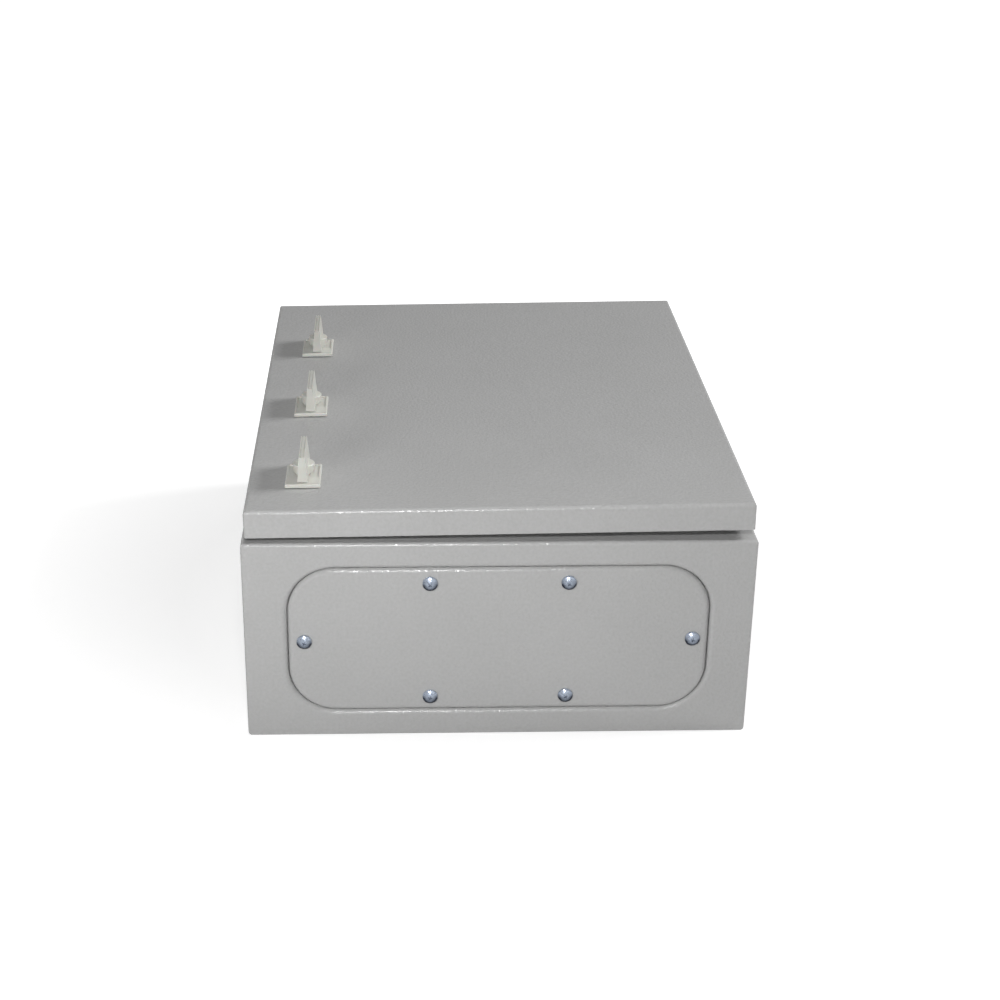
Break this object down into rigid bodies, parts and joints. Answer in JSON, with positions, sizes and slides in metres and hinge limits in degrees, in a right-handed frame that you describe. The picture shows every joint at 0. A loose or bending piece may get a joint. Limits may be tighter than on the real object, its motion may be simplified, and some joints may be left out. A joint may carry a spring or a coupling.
{
  "type": "utility cabinet",
  "caption": "Grey sheet-steel utility cabinet with a folded hinged door, wing-knob cam latches, a flush gland plate and a mounting plate inside.",
  "frame": {"origin": "centre of the wall-fixing holes, on the outer face of the back", "axes": "+X across the width towards the hinges, +Y along the height towards the top end, +Z out of the back through the door"},
  "size_m": [0.4, 0.5036, 0.2219],
  "materials": {
    "grey_paint": "textured powder coat",
    "ivory_plastic": "moulded, satin",
    "zinc_plate": "bright zinc plate",
    "galvanised_sheet": "hot-dip galvanised",
    "black_foam": "foamed-in-place, matt"
  },
  "bodies": {
    "cabinet": {"body_wrap": "grey_paint", "top_panel": "grey_paint", "bottom_panel": "grey_paint", "gland_plate": "grey_paint", "gland_gasket": "black_foam", "gland_screws": "zinc_plate", "gland_nuts": "zinc_plate", "mounting_plate": "galvanised_sheet", "mounting_studs": "zinc_plate", "mounting_spacers": "zinc_plate", "mounting_washers": "zinc_plate", "mounting_nuts": "zinc_plate", "earth_stud": "zinc_plate", "earth_nut": "zinc_plate", "hinge_bracket_upper": "zinc_plate", "hinge_bracket_lower": "zinc_plate"},
    "door": {"door_panel": "grey_paint", "door_gasket": "black_foam", "hinge_leaf_upper": "zinc_plate", "hinge_leaf_lower": "zinc_plate", "hinge_pin_upper": "zinc_plate", "hinge_pin_lower": "zinc_plate", "door_earth_stud": "zinc_plate", "door_earth_nut": "zinc_plate", "latch_housing_1": "ivory_plastic", "latch_housing_2": "ivory_plastic", "latch_housing_3": "ivory_plastic", "latch_seal_1": "black_foam", "latch_seal_2": "black_foam", "latch_seal_3": "black_foam", "latch_nut_1": "zinc_plate", "latch_nut_2": "zinc_plate", "latch_nut_3": "zinc_plate"},
    "latch_1": {"latch_knob_1": "ivory_plastic", "latch_cam_1": "zinc_plate", "latch_screw_1": "zinc_plate"},
    "latch_2": {"latch_knob_2": "ivory_plastic", "latch_cam_2": "zinc_plate", "latch_screw_2": "zinc_plate"},
    "latch_3": {"latch_knob_3": "ivory_plastic", "latch_cam_3": "zinc_plate", "latch_screw_3": "zinc_plate"}
  },
  "joints": [
    {"name": "door_hinge", "type": "hinge", "parent": "cabinet", "child": "door", "pos_m": [0.1895, 0, 0.185], "axis": [0, 1, 0], "range_deg": [0, 110]},
    {"name": "latch_1_turn", "type": "hinge", "parent": "door", "child": "latch_1", "pos_m": [-0.15314, 0.118, 0.19645], "axis": [0.0103, 0, -0.9999], "range_deg": [0, 90]},
    {"name": "latch_2_turn", "type": "hinge", "parent": "door", "child": "latch_2", "pos_m": [-0.15314, -0.031, 0.19645], "axis": [0.0103, 0, -0.9999], "range_deg": [0, 90]},
    {"name": "latch_3_turn", "type": "hinge", "parent": "door", "child": "latch_3", "pos_m": [-0.15314, -0.18, 0.19645], "axis": [0.0103, 0, -0.9999], "range_deg": [0, 90]}
  ]
}
